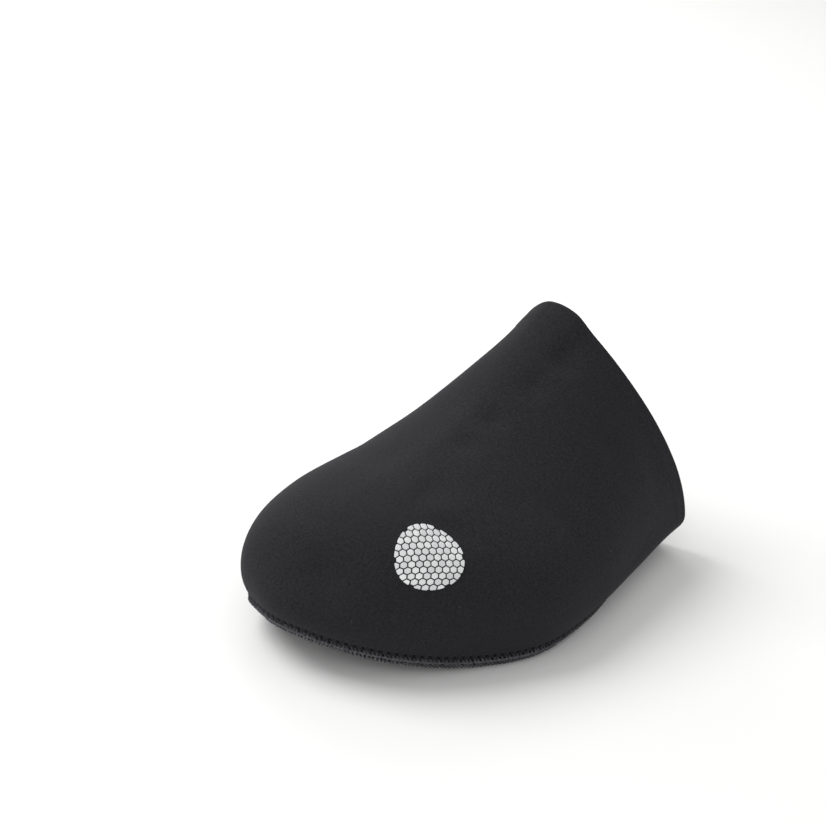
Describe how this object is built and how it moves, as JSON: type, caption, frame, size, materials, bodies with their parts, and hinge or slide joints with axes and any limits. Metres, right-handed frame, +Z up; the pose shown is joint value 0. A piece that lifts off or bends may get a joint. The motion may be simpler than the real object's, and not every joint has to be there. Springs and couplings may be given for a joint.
{
  "type": "cycling toe overshoe",
  "caption": "Dark stretch-cloth toe cover for a cycling shoe: closed rounded toe, open collar, overlocked feather edge and a flat sole panel with a cleat window.",
  "frame": {"origin": "middle of the bounding box, on the floor under the sole panel", "axes": "-Y towards the toe tip, +Y towards the open collar, +X towards the outer side of the left foot, +Z up"},
  "size_m": [0.1088, 0.167, 0.0871],
  "materials": {
    "upper_cloth": "matte stretch softshell",
    "sole_cloth": "matte abrasion-resistant cloth",
    "seam_thread": "overlocked polyester thread",
    "reflective_film": "silver retroreflective film"
  },
  "bodies": {
    "root": {"upper": "upper_cloth", "sole_panel": "sole_cloth", "seam_binding": "seam_thread", "reflector": "reflective_film"}
  },
  "joints": []
}
